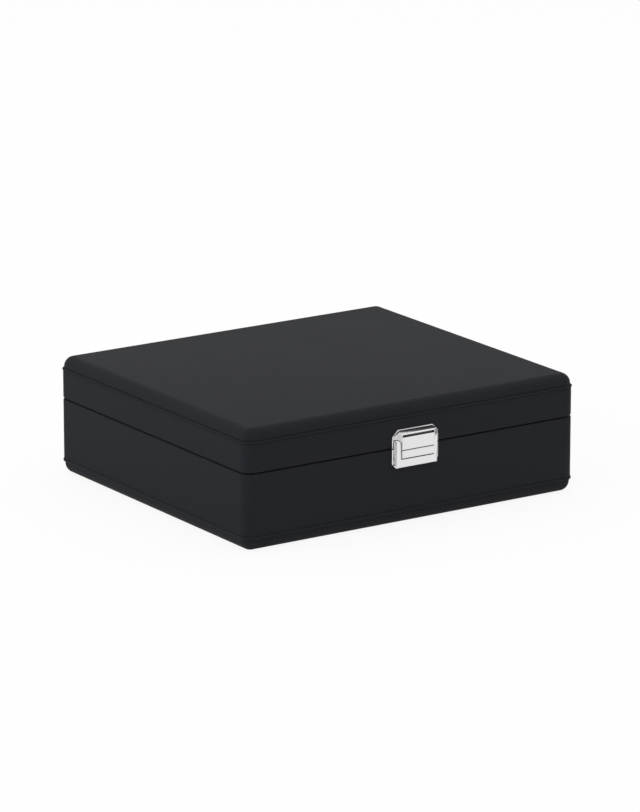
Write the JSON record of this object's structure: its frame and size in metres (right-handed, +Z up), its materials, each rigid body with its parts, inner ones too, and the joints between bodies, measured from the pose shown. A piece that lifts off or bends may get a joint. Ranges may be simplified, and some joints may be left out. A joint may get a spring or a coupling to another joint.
{
  "type": "cufflink box",
  "caption": "Leather-covered cufflink box: a suede-lined tray of small compartments under a hinged lid with a sprung front clasp, over a side drawer.",
  "frame": {"origin": "centre of the flat underside that the box stands on", "axes": "+X to the right along the front, +Y to the hinged back, +Z up"},
  "size_m": [0.2372, 0.208, 0.07],
  "materials": {
    "black_leather": "fine grain, satin",
    "suede": "napped",
    "chrome": "polished",
    "steel": "plain",
    "card": "pressed card",
    "board": "fibreboard, unpainted"
  },
  "bodies": {
    "base": {"base_bottom_leather": "black_leather", "base_bottom_panel": "board", "base_bead": "black_leather", "base_floor_lining": "suede", "base_wall_front": "board", "base_wall_back": "board", "base_wall_left": "board", "base_wall_right": "board", "base_side_leather": "black_leather", "drawer_guide_front": "board", "drawer_guide_rear": "board", "deck_board": "board", "tray_floor_pad": "suede", "tray_wall_lining": "suede", "tray_divider_long_1": "suede", "tray_divider_long_2": "suede", "tray_divider_long_3": "suede", "tray_divider_cross_1": "suede", "tray_divider_cross_2": "suede", "tray_divider_cross_3": "suede", "tray_divider_cross_4": "suede", "hinge_base_leaf_left": "chrome", "hinge_base_leaf_right": "chrome", "hinge_pin_left": "chrome", "hinge_pin_right": "chrome", "hinge_base_screws": "steel", "clasp_base_plate": "chrome"},
    "lid": {"lid_top_leather": "black_leather", "lid_top_panel": "board", "lid_bead": "black_leather", "lid_wall_front": "board", "lid_wall_back": "board", "lid_wall_left": "board", "lid_wall_right": "board", "lid_side_leather": "black_leather", "lid_pad_board": "card", "lid_pad": "suede", "lid_wall_lining": "suede", "hinge_lid_leaf_left": "chrome", "hinge_lid_leaf_right": "chrome", "hinge_lid_screws": "steel", "clasp_lid_plate": "chrome", "clasp_hood": "chrome", "clasp_pivot_pin": "steel", "clasp_spring": "steel"},
    "clasp_lever": {"clasp_lever": "chrome"},
    "drawer": {"drawer_front_board": "board", "drawer_front_leather": "black_leather", "drawer_side_front": "board", "drawer_side_rear": "board", "drawer_back": "board", "drawer_bottom": "board", "drawer_floor_pad": "suede", "drawer_divider_1": "suede", "drawer_divider_2": "suede", "drawer_stops": "board", "drawer_pull": "chrome", "drawer_pull_screw": "steel"}
  },
  "joints": [
    {"name": "lid_hinge", "type": "hinge", "parent": "base", "child": "lid", "pos_m": [0, 0.10205, 0.045], "axis": [-1, 0, 0], "range_deg": [0, 100]},
    {"name": "clasp_pivot", "type": "hinge", "parent": "lid", "child": "clasp_lever", "pos_m": [0, -0.10205, 0.049], "axis": [-1, 0, 0], "range_deg": [0, 30], "stiffness_Nm_per_rad": 0.02, "springref_deg": -28.65},
    {"name": "drawer_slide", "type": "slide", "parent": "base", "child": "drawer", "axis": [1, 0, 0], "range_m": [0, 0.15]}
  ]
}
